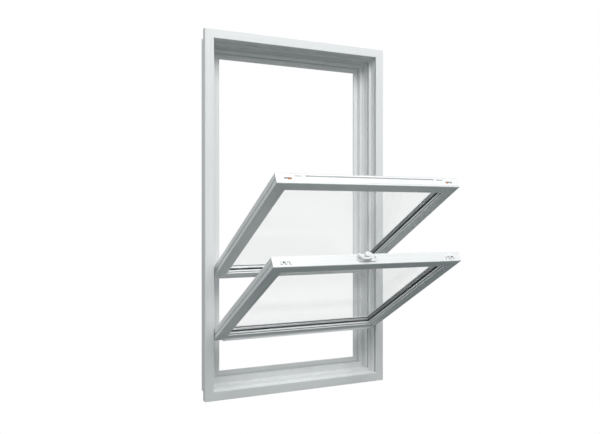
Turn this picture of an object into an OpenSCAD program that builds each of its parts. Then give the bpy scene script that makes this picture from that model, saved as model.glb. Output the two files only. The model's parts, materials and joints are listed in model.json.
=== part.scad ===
// Tilt-in sash window with its frame: two glazed vinyl sashes that slide on
// spiral balances in the jambs and tilt into the room on pivot bars.
// Lengths are in millimetres, +Z is up and +Y points outdoors.  Inside the
// modules the room face of the frame is y = 0 and its lowest edge z = 0;
// in_place() then moves the origin to the middle of the sill's seat.

/* [Frame] */
// Overall width of the frame
frame_w = 766; // [600:1:1000]
// Overall height of the frame
frame_h = 1370; // [1100:1:1700]
// Width of the frame's room-side face
face_w = 34; // [30:1:42]
// Depth of the front flange that laps the wall
flange_d = 26; // [24:1:30]
// How far the frame body steps in behind the flange
body_inset = 18; // [14:1:18]
// Wall thickness of the frame sections
frame_wall = 2.4; // [2:0.1:2.8]
// Rise from the lower sash's track to the upper sash's track
track_step = 10; // [10:1:16]
// Width of the flat stop behind the upper sash
stop_rise = 20; // [12:1:24]
// Width of the channel between the stop and the outer lip
channel_w = 5; // [4:1:12]
// Width of the outer lip's flat face
lip_rise = 17; // [12:1:24]
// How far the outer lip is set back from the stop
lip_back = 15; // [6:1:26]
// Depth of the outer lip
lip_d = 8; // [7:1:14]

/* [Sashes] */
// Height of the lower sash
lower_h = 640; // [480:1:780]
// Depth of both sashes
sash_d = 37; // [36:0.5:40]
// Width of the stile and rail faces
rail_w = 42; // [40:1:52]
// Gap between each stile and its track
side_gap = 3; // [2.5:0.1:4]
// Gap between the two sashes when closed
sash_gap = 2.5; // [2.2:0.1:4]
// Gap under the closed lower sash
sill_gap = 3; // [2.8:0.1:5]
// Gap over the closed upper sash
head_gap = 2; // [1.5:0.1:4]
// Thickness of one glass pane
pane_t = 3; // [2.5:0.1:3.4]
// Thickness of the air space between the panes
air_t = 10; // [9:0.5:10.5]

/* [Balances and pivots] */
// Inside width of the balance pocket in the jamb
pocket_w = 14; // [13:0.5:15]
// Inside depth of the balance pocket in the jamb
pocket_d = 16; // [15:0.5:16.5]
// Width of the slot that the pivot bar passes through
slot_w = 8; // [7:0.5:9]
// Outer radius of a balance tube
tube_r = 5; // [4.5:0.1:5.5]
// Radius of the pivot cam
cam_r = 5; // [4.8:0.1:5.4]
// Radial running clearance of the pivot cam
cam_clear = 0.08; // [0.05:0.01:0.1]

/* [Movement] */
// Tilt of both sashes from upright at rest
tilt = 61; // [0:1:90]
// How far the lower sash is raised at rest
lower_raise = 185; // [0:1:330]
// How far the upper sash is dropped at rest
upper_drop = 188; // [0:1:200]
// How far the lower sash can be raised
lower_travel = 338; // [200:1:340]

/* [Hardware] */
// Sideways place of the sash lock from the middle
lock_u = -20; // [-60:1:60]
// Radius of an installation hole
install_r = 2.5; // [2:0.1:3]
// Distance of the installation holes from the frame's ends
install_end = 250; // [150:1:300]
// How far a tilt latch slides
latch_travel = 6; // [5:0.5:6]
// Distance of a latch's finger piece from the stile's outer side
latch_in = 44; // [40:1:50]

/* [Hidden] */
$fn = 48;
eps = 0.01;

vinyl = "white";
grey_vinyl = "gainsboro";
metal = "silver";
black = "dimgray";
glass_tint = "lightcyan";

// Frame section: r runs in from the outer edge, d runs back from the room face
track_clear = 1;                                  // lower sash face behind the frame face
lower_y = track_clear;                            // room face of the lower sash
upper_y = lower_y + sash_d + sash_gap;            // room face of the upper sash
step_y = upper_y - track_clear;                   // step between the two tracks
stop_gap = 2.5;                                   // behind the closed upper sash
stop_y = upper_y + sash_d + stop_gap;             // front of the outer stop
lip_y = stop_y + lip_back;
channel_y = lip_y + lip_d / 2;                    // bottom of the channel
frame_d = lip_y + lip_d;
lower_r = face_w;
upper_r = face_w + track_step;
stop_r = upper_r + stop_rise;
lip_r = stop_r + channel_w;
day_r = lip_r + lip_rise;                         // edge of the clear opening
half_w = frame_w / 2;
edge = 1.2;                                       // small chamfer on frame edges
web = 2;                                          // inner webs of the sections
origin_y = (flange_d + frame_d) / 2;
origin_z = body_inset;

// Balance pocket, shared by jamb, shoe, cam, tube and latch
pivot_e = 9;                                      // pivot axis behind the sash's room face
pivot_v = 10;                                     // pivot axis above the sash's lower edge
pocket_lip = frame_wall + 0.4;                    // keeps the shoe clear of the sill's top wall
function track_r(s) = s == "lower" ? lower_r : upper_r;
function sash_y(s) = s == "lower" ? lower_y : upper_y;
function pocket_y(s) = sash_y(s) + pivot_e;       // middle of the pocket
function pocket_front(s) = track_r(s) - pocket_lip;
function pocket_back(s) = pocket_front(s) - pocket_d;

// Sash sizes and places
lower_z = face_w + sill_gap;                      // lower edge when closed
upper_top = frame_h - upper_r - head_gap;
upper_z = lower_z + lower_h - rail_w;             // meeting rails level when closed
function sash_w(s) = frame_w - 2 * (track_r(s) + side_gap);
function sash_h(s) = s == "lower" ? lower_h : upper_top - upper_z;
function pivot_z(s) = s == "lower" ? lower_z + pivot_v + lower_raise
                                   : upper_z + pivot_v - upper_drop;
lower_pivot_max = lower_z + pivot_v + lower_travel; // highest place of the lower shoe
upper_pivot_max = upper_z + pivot_v;              // highest place of the upper shoe

// Sash section: w runs in from the outer edge, e runs back from the room face
sash_edge = 1.5;
back_edge = 2.5;                                  // lets the foot of the sash swing past the step
outer_wall = 4.6;
sash_wall = 2.6;
rebate_w = rail_w - 12;                           // bottom of the glazing pocket
leg_t = 5.6;                                      // room-side leg over the bead
outer_leg_t = 5;
wedge_t = 1.8;
bead_e = leg_t + wedge_t;
tape_t = 1;                                       // glazing tape on the room side
outer_tape_t = 0.5;                               // glazing tape on the outdoor side
unit_t = 2 * pane_t + air_t;                      // insulating glass unit
glass_e = sash_d - outer_leg_t - outer_tape_t - unit_t; // room face of the inner pane
bead_t = glass_e - tape_t - bead_e;
bead_edge = min(1, bead_t / 3);
glass_w = rebate_w + 4;                           // edge of the glass
bead_w = rail_w + 2;
outer_leg_w = rail_w + 4;
band_w = 26;                                      // the flat band of the room face ends here
band_drop = 3;                                    // drop behind the flat band
band_drop_w = 2.5;
crest_w = 1.5;                                    // crest at the inner edge of the room face
crest_e = 0.8;
outer_slope = 3.5;                                // slope at the inner edge of the outdoor face
chamber_a = [outer_wall, 14.6];
chamber_b = [16.8, rebate_w - 2.4];
pile_e = [14, 18];                                // pile groove in the stiles' sides
pile_deep = 2.2;
pile_flare = 0.4;

// Pivot hardware
bar_v = 6;
bar_e = 4;
bar_in = 70;
shoe_clear = 0.3;
shoe_below = 25;
shoe_above = 35;
cam_back = 3;                                     // shoe wall behind the cam
tube_wall = 1.6;
rod_r = 2.2;
rod_len_lower = 420;
rod_len_upper = 270;
rod_seat = 8;                                     // foot of the rod inside the shoe
notch_up = 14;                                    // grip notches in the shoe's sides
notch_h = 12;
tube_over = 30;                                   // tube's foot above the raised shoe
plug_h = 30;
plug_gap = 12;
plug_spigot = 12;                                 // part of the plug inside the tube
plug_screw_at = 18;                               // screw above the foot of the plug
screw_r = 2;
screw_head_r = 3.8;
screw_head_t = 2.6;
head_deep = 4;                                    // counterbore for the screw's head
head_play = 0.4;
tube_top = frame_h - upper_r - plug_gap - plug_h;

// Tilt latches
tongue_e = [6.5, 11.5];
tongue_v = [6.5, 12.5];                           // depths below the sash's top face
plate_e = [6.5, 24];
plate_v = [5.1, 12.5];
tip_back = 1;
latch_play = 0.2;
button_e = 17;
neck_l = 8;
neck_w = 6;
plate_half = 22;
housing_l = 10;
housing_e = [4, 28];
peg_r = 1.4;
peg_l = 8;
spring_e = 14;
spring_l = 15;
spring_r = 2.2;
wire_r = 0.4;
spring_turns = 5;

// Sash lock, measured from its hub on the lower sash's top face
hub_e = 30;                                       // hub behind the room face
base_l = 74;
base_w = 26;
base_t = 3;
base_e = 22;                                      // middle of the base plate
seat_t = 1.7;                                     // raised ring under the lever
seat_r = 6;
post_r = 3;
post_h = 6;
post_play = 0.05;
lever_z = 5;                                      // underside of cam and hub
hub_r = 9;
hub_h = 4;                                        // cam and hub, under the handle
hub_top_r = 7;
hub_top_h = 1.2;
cam_in = 15.8;
cam_out = 19;
cam_t = 3;
cam_arc = [25, 120];                              // reach of the cam when locked
cam_arm = 37;                                     // direction of the arm that carries the cam
cam_arm_w = 5;
lock_swing = 150;                                 // turn from locked to open
handle_r = 27;
handle_w = 6;
handle_h = 3.6;                                   // handle passes over the keeper's hook
handle_mid = [-7, 12];                            // centre of the handle's bow
handle_arc = [205, 312];
heel = [8, -2];                                   // disc that joins the bow to the hub
heel_r = 8;
lock_screw_u = 28;
lock_screw_r = 1.95;
lock_head_r = 3.8;
lock_head_t = 1.6;
lock_screw_l = 13;
sink_z = 1;                                       // underside of the countersunk heads
keeper_w = 58;
keeper_t = 2;
keeper_e = [1, 14];
hook_half = 8;
hook_t = 2.5;
hook_h = 4.4;

// ---------- placing ----------
module in_place() translate([0, -origin_y, -origin_z]) children();

// A sash is built upright with x across, y = e and z up from its lower edge
module place_sash(s)
    in_place()
        translate([0, pocket_y(s), pivot_z(s)])
            rotate([tilt, 0, 0])
                translate([0, -pivot_e, -pivot_v])
                    children();

// Mirrors a right-hand piece to the left when side is -1
module on_side(side) mirror([side < 0 ? 1 : 0, 0, 0]) children();

module both_sides() for (side = [-1, 1]) on_side(side) children();

// ---------- mitred bars ----------
// Extrudes a [depth, width] section along X with both ends mitred
module mitred_bar(len, reach) {
    intersection() {
        translate([-len / 2, 0, 0])
            rotate([90, 0, 90])
                linear_extrude(len) children();
        translate([0, frame_d + 20, 0])
            rotate([90, 0, 0])
                linear_extrude(2 * frame_d)
                    polygon([[-len / 2, 0], [len / 2, 0],
                             [len / 2 - reach, reach], [reach - len / 2, reach]]);
    }
}

// Turns a bar of the bottom edge into the one along the top or left edge
module to_top(h) translate([0, 0, h]) mirror([0, 0, 1]) children();
module to_left(w, h) translate([-w / 2, 0, h / 2]) rotate([0, 90, 0]) children();

// ---------- frame ----------
function frame_outline() = concat(
    [[0, edge], [0, face_w - edge], [edge, face_w], [step_y, face_w], [step_y, upper_r],
     [stop_y, upper_r], [stop_y, stop_r - edge], [stop_y + edge, stop_r]],
    [[channel_y, stop_r], [channel_y, lip_r], [lip_y + edge, lip_r], [lip_y, lip_r + edge],
     [lip_y, day_r - edge], [lip_y + edge, day_r], [frame_d - edge, day_r],
     [frame_d, day_r - edge], [frame_d, body_inset], [flange_d, body_inset],
     [flange_d, 0], [edge, 0]]);

module chamber(d0, d1, r0, r1) translate([d0, r0]) square([d1 - d0, r1 - r0]);

// Chambers that the head, the sill and the jambs have alike
module rear_chambers() {
    far_r = body_inset + frame_wall;
    chamber(pocket_y("upper") + pocket_w / 2 + web, stop_y - frame_wall, far_r,
            upper_r - frame_wall);
    polygon([[stop_y, far_r], [frame_d - frame_wall, far_r],
             [frame_d - frame_wall, stop_r - frame_wall],
             [stop_y + frame_wall, stop_r - frame_wall],
             [stop_y + frame_wall, upper_r - frame_wall], [stop_y, upper_r - frame_wall]]);
    chamber(lip_y + frame_wall, frame_d - frame_wall, lip_r + frame_wall,
            day_r - frame_wall);
}

module plain_chambers() {
    chamber(frame_wall, flange_d - frame_wall, frame_wall, face_w - frame_wall);
    chamber(flange_d - frame_wall + web, step_y - frame_wall, body_inset + frame_wall,
            face_w - frame_wall);
    chamber(step_y + frame_wall, pocket_y("upper") + pocket_w / 2,
            body_inset + frame_wall, upper_r - frame_wall);
    rear_chambers();
}

// Balance pocket with its slot into the track
module pocket(s) {
    chamber(pocket_y(s) - pocket_w / 2, pocket_y(s) + pocket_w / 2,
            pocket_back(s), pocket_front(s));
    chamber(pocket_y(s) - slot_w / 2, pocket_y(s) + slot_w / 2,
            pocket_front(s) - eps, track_r(s) + eps);
}

module jamb_chambers() {
    lower_edge = pocket_y("lower") + pocket_w / 2;
    chamber(frame_wall, flange_d - frame_wall, frame_wall, pocket_back("lower") - frame_wall);
    chamber(lower_edge + web, step_y - frame_wall, body_inset + frame_wall,
            face_w - frame_wall);
    chamber(pocket_y("upper") - pocket_w / 2, pocket_y("upper") + pocket_w / 2,
            body_inset + frame_wall, pocket_back("upper") - frame_wall);
    pocket("lower");
    pocket("upper");
    rear_chambers();
}

module frame_bar(len, jamb = false) {
    mitred_bar(len, day_r + 10)
        difference() {
            polygon(frame_outline());
            if (jamb) jamb_chambers(); else plain_chambers();
        }
}

weep_l = 22;
weep_h = 3.6;
weep_r = body_inset + 6;
// Drain holes in the upper track, in the channel and out through the sill's rear face
module weep_slots() {
    for (x = [-frame_w / 4, frame_w / 4]) {
        translate([x - weep_l / 2, stop_y - frame_wall - 1, weep_r])
            cube([weep_l, frame_d - stop_y + frame_wall + 2, weep_h]);
        translate([x - weep_l / 2, stop_y - weep_h - 1, upper_r - frame_wall - 1])
            cube([weep_l, weep_h, frame_wall + 2]);
        translate([x - weep_l / 2, stop_y + frame_wall + 0.4, stop_r - frame_wall - 1])
            cube([weep_l, weep_h, frame_wall + 2]);
    }
}

module frame_head() color(vinyl) in_place() to_top(frame_h) frame_bar(frame_w);

module frame_sill() color(vinyl) in_place() difference() {
    frame_bar(frame_w);
    weep_slots();
}

install_y = stop_y - 11;
module x_hole(r, y, z, x0, x1) translate([x0, y, z]) rotate([0, 90, 0]) cylinder(h = x1 - x0, r = r);

module frame_jamb(side) {
    color(vinyl) in_place() on_side(side) mirror([1, 0, 0]) difference() {
        to_left(frame_w, frame_h) frame_bar(frame_h, true);
        for (z = [install_end, frame_h - install_end])
            x_hole(install_r, install_y, z, -half_w, upper_r + 1 - half_w);
        for (s = ["lower", "upper"]) tube_screw_hole(s);
    }
}

pile_t = 0.9;
pile_w = 5;
pile_foot = 4;                                    // foot of the upright strips over the track
pile_short = 16;                                  // their head ends this far under the top track
head_pile_t = 1.2;
head_pile_e = 16;
// Thin pile seals on the outer stop and one over the upper sash
module frame_pile() color(grey_vinyl) in_place() {
    pile_r = upper_r + 5;
    across = pile_r + pile_w + 1;
    both_sides()
        translate([half_w - pile_r - pile_w, stop_y - pile_t, upper_r + pile_foot])
            cube([pile_w, pile_t, frame_h - 2 * upper_r - pile_foot - pile_short]);
    translate([across - half_w, stop_y - pile_t, frame_h - pile_r - pile_w])
        cube([frame_w - 2 * across, pile_t, pile_w]);
    translate([upper_r + 1 - half_w, upper_y + head_pile_e, frame_h - upper_r - head_pile_t])
        cube([frame_w - 2 * upper_r - 2, pile_w, head_pile_t]);
}

// ---------- balances ----------
function pocket_x(s) = half_w - (pocket_front(s) + pocket_back(s)) / 2;
function tube_foot(s) = (s == "lower" ? lower_pivot_max : upper_pivot_max)
    + shoe_above + tube_over;

module balance_tube(s, side) {
    color(metal) in_place() on_side(side)
        translate([pocket_x(s), pocket_y(s), tube_foot(s)]) difference() {
            cylinder(h = tube_top - tube_foot(s), r = tube_r);
            translate([0, 0, -1])
                cylinder(h = tube_top - tube_foot(s) + 2, r = tube_r - tube_wall);
        }
}

module at_tube_screw(s) translate([0, pocket_y(s), tube_top + plug_screw_at]) children();
module tube_screw_hole(s)
    at_tube_screw(s) x_hole(screw_r + 0.1, 0, 0, pocket_back(s) - 5 - half_w,
                            pocket_back(s) + 1 - half_w);

// Plug that closes a tube's top and takes its screw
module tube_plug(s) {
    depth = pocket_d - 2 * shoe_clear;
    difference() {
        union() {
            translate([half_w - pocket_front(s) + shoe_clear,
                       pocket_y(s) - pocket_w / 2 + shoe_clear, tube_top])
                cube([depth, pocket_w - 2 * shoe_clear, plug_h]);
            translate([pocket_x(s), pocket_y(s), tube_top - plug_spigot])
                cylinder(h = plug_spigot + eps, r = tube_r - tube_wall - 0.05);
        }
        at_tube_screw(s) x_hole(screw_r + 0.05, 0, 0, half_w - pocket_front(s) - 5,
                                half_w - pocket_back(s) + 5);
        at_tube_screw(s) x_hole(screw_head_r + head_play, 0, 0,
                                half_w - pocket_front(s) - 5,
                                half_w - pocket_front(s) + head_deep);
    }
}
module tube_plugs() color(grey_vinyl) in_place()
    for (s = ["lower", "upper"]) both_sides() tube_plug(s);

module tube_screw(s) {
    at_tube_screw(s) {
        x_hole(screw_head_r, 0, 0, half_w - pocket_front(s) + head_deep - screw_head_t,
               half_w - pocket_front(s) + head_deep);
        x_hole(screw_r, 0, 0, half_w - pocket_front(s) + head_deep - 0.1,
               half_w - pocket_back(s) + 2.2);
    }
}
module tube_screws() color(metal) in_place()
    for (s = ["lower", "upper"]) both_sides() tube_screw(s);

function rod_len(s) = s == "lower" ? rod_len_lower : rod_len_upper;
module balance_rod(s, side) color(metal) in_place() on_side(side)
    translate([pocket_x(s), pocket_y(s), pivot_z(s) + shoe_above - rod_seat])
        cylinder(h = rod_len(s) + rod_seat, r = rod_r);

module shoe(s, side) {
    depth = pocket_d - 2 * shoe_clear;
    width = pocket_w - 2 * shoe_clear;
    x0 = half_w - pocket_front(s) + shoe_clear;
    color(grey_vinyl) in_place() on_side(side) difference() {
        translate([x0, pocket_y(s) - width / 2, pivot_z(s) - shoe_below])
            cube([depth, width, shoe_below + shoe_above]);
        x_hole(cam_r + cam_clear, pocket_y(s), pivot_z(s), x0 - 1, x0 + depth - cam_back);
        translate([pocket_x(s), pocket_y(s), pivot_z(s) + shoe_above - rod_seat])
            cylinder(h = rod_seat + 1, r = rod_r);
        for (dy = [-1, 1])
            translate([x0 - 1, pocket_y(s) + dy * width / 2 - 1, pivot_z(s) + notch_up])
                cube([depth + 2, 2, notch_h]);
    }
}

// ---------- sash ----------
function sash_outline(grooved) = concat(
    [[0, sash_edge], [0, band_w], [band_drop, band_w + band_drop_w],
     [crest_e, rail_w - crest_w], [crest_e + 1, rail_w], [leg_t, rail_w],
     [leg_t, rebate_w],
     [sash_d - outer_leg_t, rebate_w], [sash_d - outer_leg_t, outer_leg_w],
     [sash_d - outer_slope, outer_leg_w], [sash_d, outer_leg_w - outer_slope],
     [sash_d, back_edge], [sash_d - back_edge, 0]],
    grooved ? [[pile_e[1] + pile_flare, 0], [pile_e[1], pile_deep], [pile_e[0], pile_deep],
               [pile_e[0] - pile_flare, 0]] : [],
    [[sash_edge, 0]]);

module sash_bar(len, grooved = false) {
    mitred_bar(len, outer_leg_w + 6)
        difference() {
            polygon(sash_outline(grooved));
            chamber(sash_wall, sash_d - sash_wall, chamber_a[0], chamber_a[1]);
            chamber(leg_t, sash_d - sash_wall, chamber_b[0], chamber_b[1]);
        }
}

bar_play = 0.2;
module sash_stile(s, side) {
    w = sash_w(s);
    h = sash_h(s);
    through = sash_wall + outer_wall;
    color(vinyl) place_sash(s) on_side(side) mirror([1, 0, 0]) difference() {
        to_left(w, h) sash_bar(h, true);
        translate([-w / 2 - 1, pivot_e - bar_e / 2 - bar_play, pivot_v - bar_v / 2 - bar_play])
            cube([through, bar_e + 2 * bar_play, bar_v + 2 * bar_play]);
        translate([-w / 2 - 1, tongue_e[0] - latch_play, h - tongue_v[1] - latch_play])
            cube([through, tongue_e[1] - tongue_e[0] + 2 * latch_play,
                  tongue_v[1] - tongue_v[0] + 2 * latch_play]);
    }
}

// A slot with round ends, through the top wall of a rail
module round_slot(len, wid, deep) {
    for (x = [-1, 1]) translate([x * (len - wid) / 2, 0, -deep]) cylinder(h = deep + 1, d = wid);
    translate([-(len - wid) / 2, -wid / 2, -deep]) cube([len - wid, wid, deep + 1]);
}

module lower_top_rail() {
    h = sash_h("lower");
    w = sash_w("lower");
    color(vinyl) place_sash("lower") difference() {
        to_top(h) sash_bar(w);
        both_sides()
            translate([w / 2 - latch_in - neck_l / 2 - 1, button_e - neck_w / 2 - 0.5,
                       h - outer_wall - 1])
                cube([neck_l + latch_travel + 2, neck_w + 1, outer_wall + 2]);
        for (u = [-lock_screw_u, lock_screw_u])
            translate([lock_u + u, base_e, h - outer_wall - 1])
                cylinder(h = outer_wall + 2, r = lock_screw_r + 0.05);
    }
}

pull_end = 99;                                    // from the stile's side to the finger pull
window_in = 89;                                   // from the stile's side to the latch window
window_l = 26;
window_w = 6;
window_deep = 3;
button_slot_l = 27;
button_slot_out = latch_travel / 2 + 2;           // middle of the slot beyond the latch's middle
pull_w = 8;
pull_deep = 3.8;
pull_e = sash_d - 12;
groove_e = [6, sash_d - 3];
groove_w = 1;
groove_deep = 0.7;
module upper_top_rail() {
    h = sash_h("upper");
    w = sash_w("upper");
    color(vinyl) place_sash("upper") difference() {
        to_top(h) sash_bar(w);
        both_sides() {
            translate([w / 2 - latch_in + button_slot_out, button_e, h])
                round_slot(button_slot_l, pull_w, outer_wall + 1);
            translate([w / 2 - window_in, pull_e - window_w / 2, h - window_deep])
                cube([window_l, window_w, window_deep + 1]);
        }
        translate([pull_end - w / 2, pull_e - pull_w / 2, h - pull_deep])
            cube([w - 2 * pull_end, pull_w, pull_deep + 1]);
        for (e = groove_e)
            translate([-w / 2 - 1, e - groove_w / 2, h - groove_deep])
                cube([w + 2, groove_w, groove_deep + 1]);
    }
}

lip_reach = 10;
lip_z = 22;
lip_t = 3;
lip_end = 26;
module lower_bottom_rail() {
    w = sash_w("lower");
    color(vinyl) place_sash("lower") {
        sash_bar(w);
        translate([lip_end - w / 2, -lip_reach, lip_z]) cube([w - 2 * lip_end, lip_reach + eps, lip_t]);
        translate([lip_end - w / 2, -lip_reach, lip_z + lip_t / 2])
            rotate([0, 90, 0]) cylinder(h = w - 2 * lip_end, r = lip_t / 2);
    }
}

// Holes that the keeper's screws pass through on their way into the rail
module keeper_holes() translate([lock_u, 0, 0])
    keeper_screw_places() translate([0, 0, -keeper_screw_l - 3])
        cylinder(h = keeper_screw_l + 8, r = keeper_screw_r + 0.05);

module upper_bottom_rail() color(vinyl) place_sash("upper") difference() {
    sash_bar(sash_w("upper"));
    keeper_holes();
}

// ---------- glazing ----------
// A rectangular ring between two widths in from the sash's outer edge
module ring(s, w0, w1, e0, e1) {
    w = sash_w(s);
    h = sash_h(s);
    difference() {
        translate([w0 - w / 2, e0, w0]) cube([w - 2 * w0, e1 - e0, h - 2 * w0]);
        translate([w1 - w / 2, e0 - 1, w1]) cube([w - 2 * w1, e1 - e0 + 2, h - 2 * w1]);
    }
}

module bead_section() polygon([
    [bead_e, rebate_w], [bead_e, bead_w - bead_edge], [bead_e + bead_edge, bead_w],
    [bead_e + bead_t - bead_edge, bead_w], [bead_e + bead_t, bead_w - bead_edge],
    [bead_e + bead_t, rebate_w]]);

module bead_bar(len) mitred_bar(len, bead_w + 6) bead_section();

module glazing_beads(s) color(vinyl) place_sash(s) {
    w = sash_w(s);
    h = sash_h(s);
    difference() {
        bead_bar(w);
        if (s == "upper") keeper_holes();
    }
    to_top(h) bead_bar(w);
    both_sides() to_left(w, h) bead_bar(h);
}

tape_in = 2;                                      // tapes end this far in from the glass edge
module gaskets(s) color(black) place_sash(s) {
    ring(s, rebate_w, rail_w - 1, leg_t, bead_e);
    ring(s, glass_w + tape_in, bead_w - 0.5, bead_e + bead_t, glass_e);
    ring(s, glass_w + tape_in, outer_leg_w - 1, glass_e + unit_t, sash_d - outer_leg_t);
}

module pane(s, e0) color(glass_tint) place_sash(s)
    translate([glass_w - sash_w(s) / 2, e0, glass_w])
        cube([sash_w(s) - 2 * glass_w, pane_t, sash_h(s) - 2 * glass_w]);

spacer_w = 11;
module spacer(s) color(metal) place_sash(s)
    ring(s, glass_w + 4, glass_w + 4 + spacer_w, glass_e + pane_t, glass_e + pane_t + air_t);

block_l = 80;
module setting_blocks(s) color(black) place_sash(s)
    for (u = [-1, 1])
        translate([u * sash_w(s) / 4 - block_l / 2, glass_e, rebate_w])
            cube([block_l, unit_t, glass_w - rebate_w]);

// ---------- pivots ----------
function cam_x0(s) = half_w - pocket_front(s) + shoe_clear;
function cam_x1(s) = half_w - pocket_back(s) - shoe_clear - cam_back;

module pivot_bars(s) color(metal) place_sash(s) both_sides()
    translate([sash_w(s) / 2 - bar_in, pivot_e - bar_e / 2, pivot_v - bar_v / 2])
        cube([cam_x1(s) - 2 - sash_w(s) / 2 + bar_in, bar_e, bar_v]);

module pivot_cams(s) color(black) place_sash(s) both_sides() difference() {
    x_hole(cam_r, pivot_e, pivot_v, cam_x0(s), cam_x1(s) - 0.3);
    translate([cam_x0(s) - 1, pivot_e - bar_e / 2, pivot_v - bar_v / 2])
        cube([cam_x1(s) - 1 - cam_x0(s), bar_e, bar_v]);
}

// ---------- seals ----------
side_pile_out = 1.8;
module side_piles(s) color(grey_vinyl) place_sash(s) both_sides()
    translate([sash_w(s) / 2 - pile_deep, pile_e[0] + 0.2, 30])
        cube([pile_deep + side_pile_out, pile_e[1] - pile_e[0] - 0.4, sash_h(s) - 60]);

seal_e = 24;
seal_end = 20;
seal_r = 1.4;
module lower_bottom_seal() color(black) place_sash("lower")
    translate([seal_end - sash_w("lower") / 2, seal_e, 0]) {
        translate([0, -2.5, -1]) cube([sash_w("lower") - 2 * seal_end, 5, 1]);
        translate([0, 0, -seal_r])
            rotate([0, 90, 0]) cylinder(h = sash_w("lower") - 2 * seal_end, r = seal_r);
    }

// ---------- tilt latches ----------
// Right-hand latch drawn back, with its tongue just inside the stile's side
module latch_body(s) {
    w = sash_w(s);
    h = sash_h(s);
    mid = w / 2 - latch_in;
    translate([mid, tongue_e[0], h - tongue_v[1]])
        cube([latch_in - tip_back, tongue_e[1] - tongue_e[0], tongue_v[1] - tongue_v[0]]);
    translate([mid - plate_half, plate_e[0], h - plate_v[1]])
        cube([2 * plate_half, plate_e[1] - plate_e[0], plate_v[1] - plate_v[0]]);
}

button_l = 34;
button_h = 3;
button_up = 0.3;                                  // finger piece above the rail
back_w = 4;                                       // bar that joins the finger ridges
ridge_r = 2.5;
ridge_l = 8;
module lower_latch(side) color(vinyl) place_sash("lower") on_side(side) {
    h = sash_h("lower");
    mid = sash_w("lower") / 2 - latch_in;
    latch_body("lower");
    translate([mid - neck_l / 2, button_e - neck_w / 2, h - plate_v[0] - eps])
        cube([neck_l, neck_w, plate_v[0] + button_up + 2 * eps]);
    // Finger piece: a thin bar with three finger ridges
    translate([mid - button_l / 2, button_e + 1, h + button_up])
        cube([button_l, back_w, button_h - 1]);
    for (u = [-1, 0, 1])
        translate([mid + u * (button_l / 2 - ridge_r), button_e - 2 * ridge_r, h + button_up]) {
            translate([-ridge_r, 0, 0]) cube([2 * ridge_r, ridge_l, button_h]);
            cylinder(h = button_h, r = ridge_r);
        }
}

module upper_latch(side) color(vinyl) place_sash("upper") on_side(side) latch_body("upper");

slider_l = 8;
slider_w = 6.4;
slider_h = 2.8;
slider_rib = 1.4;
slider_in = 2.6;                                  // from the slot's inner end
// Small slider at the inner end of its slot, with three ribs across it
module upper_button(side) color("coral") place_sash("upper") on_side(side) {
    inner = sash_w("upper") / 2 - latch_in + button_slot_out - button_slot_l / 2 + slider_in;
    z = sash_h("upper") - plate_v[0];
    translate([inner, button_e - slider_w / 2, z]) cube([slider_l, slider_w, slider_h]);
    for (u = [0, 1, 2])
        translate([inner + u * (slider_l - slider_rib) / 2, button_e - slider_w / 2, z])
            cube([slider_rib, slider_w, slider_h + 1]);
}

function housing_x(s) = sash_w(s) / 2 - latch_in - plate_half - spring_l - housing_l;
spring_v = (chamber_a[0] + chamber_a[1]) / 2;
// Block behind each latch with a peg that carries the spring
module latch_housings(s) color(grey_vinyl) place_sash(s) both_sides() {
    h = sash_h(s);
    translate([housing_x(s), housing_e[0], h - chamber_a[1] + latch_play])
        cube([housing_l, housing_e[1] - housing_e[0],
              chamber_a[1] - chamber_a[0] - 2 * latch_play]);
    x_hole(peg_r, spring_e, h - spring_v, housing_x(s) + housing_l - eps,
           housing_x(s) + housing_l + peg_l);
}

// Coil swept along a helix about X
module coil(len, r, wire, turns) {
    sides = 6;
    per_turn = 14;
    n = turns * per_turn;
    pitch = len / turns;
    pts = [for (i = [0 : n]) let (a = 360 * i / per_turn)
        for (k = [0 : sides - 1]) let (b = 360 * k / sides)
            [pitch * i / per_turn + wire * cos(b), (r + wire * sin(b)) * cos(a),
             (r + wire * sin(b)) * sin(a)]];
    faces = concat(
        [[for (k = [0 : sides - 1]) k]],
        [[for (k = [sides - 1 : -1 : 0]) n * sides + k]],
        [for (i = [0 : n - 1]) for (k = [0 : sides - 1])
            [i * sides + k, (i + 1) * sides + k, (i + 1) * sides + (k + 1) % sides,
             i * sides + (k + 1) % sides]]);
    polyhedron(points = pts, faces = faces);
}

module latch_springs(s) color(metal) place_sash(s) both_sides()
    translate([housing_x(s) + housing_l + wire_r + 0.1, spring_e, sash_h(s) - spring_v])
        coil(spring_l - 2 * wire_r - 0.2, spring_r, wire_r, spring_turns);

// ---------- sash lock ----------
module at_lock(e) place_sash("lower") translate([lock_u, e, sash_h("lower")]) children();

module lock_screw_places() for (u = [-1, 1]) translate([u * lock_screw_u, 0, 0]) children();

module lock_base() color(vinyl) {
    at_lock(base_e) difference() {
        union() {
            translate([(base_w - base_l) / 2, -base_w / 2, 0])
                cube([base_l - base_w, base_w, base_t]);
            for (u = [-1, 1])
                translate([u * (base_l - base_w) / 2, 0, 0]) cylinder(h = base_t, d = base_w);
        }
        lock_screw_places() {
            translate([0, 0, -1]) cylinder(h = base_t + 2, r = lock_screw_r + 0.05);
            translate([0, 0, sink_z]) cylinder(h = base_t, r = lock_head_r + 0.2);
        }
    }
    at_lock(hub_e) {
        translate([0, 0, base_t - 0.1]) cylinder(h = seat_t + 0.1, r = seat_r);
        translate([0, 0, base_t - 0.1]) cylinder(h = post_h + 0.1, r = post_r);
    }
}

// Part of a flat ring between two directions
module bow(r, w, h, from, to) linear_extrude(h) intersection() {
    difference() {
        circle(r + w / 2);
        circle(r - w / 2);
    }
    polygon(concat([[0, 0]],
        [for (i = [0 : 4]) let (a = from + (to - from) * i / 4)
            [(r + w) * 1.2 * cos(a), (r + w) * 1.2 * sin(a)]]));
}

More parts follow.
